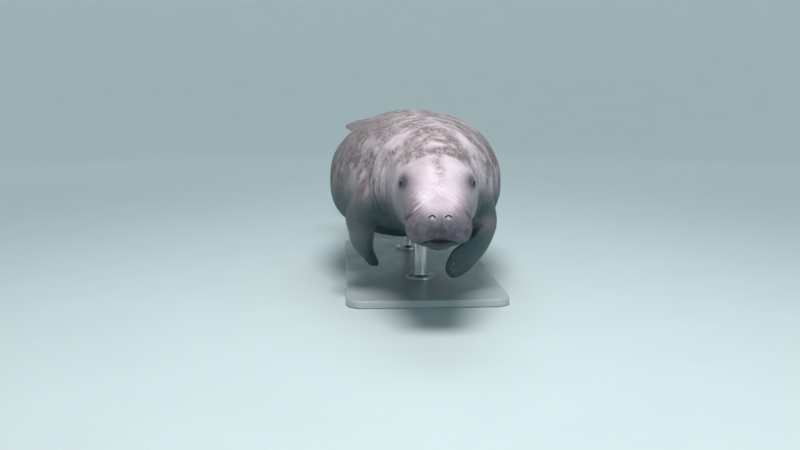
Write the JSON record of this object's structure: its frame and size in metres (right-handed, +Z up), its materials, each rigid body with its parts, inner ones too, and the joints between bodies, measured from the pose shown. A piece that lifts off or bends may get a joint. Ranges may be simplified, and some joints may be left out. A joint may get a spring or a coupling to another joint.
{
  "type": "manatee",
  "caption": "Life-size swimming manatee with blunt bristled muzzle, paddle tail and folded-in flippers, held over a plain display base by short steel rods.",
  "frame": {"origin": "bottom centre of the whole part's bounding box, on the floor under the belly", "axes": "+Z up, the animal faces -Y with its tail paddle at +Y, and its left side is at +X"},
  "size_m": [0.7538, 2.7978, 0.7178],
  "materials": {
    "skin": "satin, finely wrinkled",
    "eye": "polished",
    "nail": "satin, horn",
    "base": "painted, satin",
    "rod": "brushed"
  },
  "bodies": {
    "root": {"muzzle": "skin", "lower_jaw": "skin", "head": "skin", "eye_left": "eye", "eye_right": "eye", "neck": "skin", "chest": "skin", "belly": "skin", "tail_stock": "skin", "tail_paddle": "skin", "nail_left_1": "nail", "nail_left_2": "nail", "nail_left_3": "nail", "flipper_left": "skin", "nail_right_1": "nail", "nail_right_2": "nail", "nail_right_3": "nail", "flipper_right": "skin", "stand_base": "base", "stand_rod_front": "rod", "stand_rod_rear": "rod"}
  },
  "joints": []
}
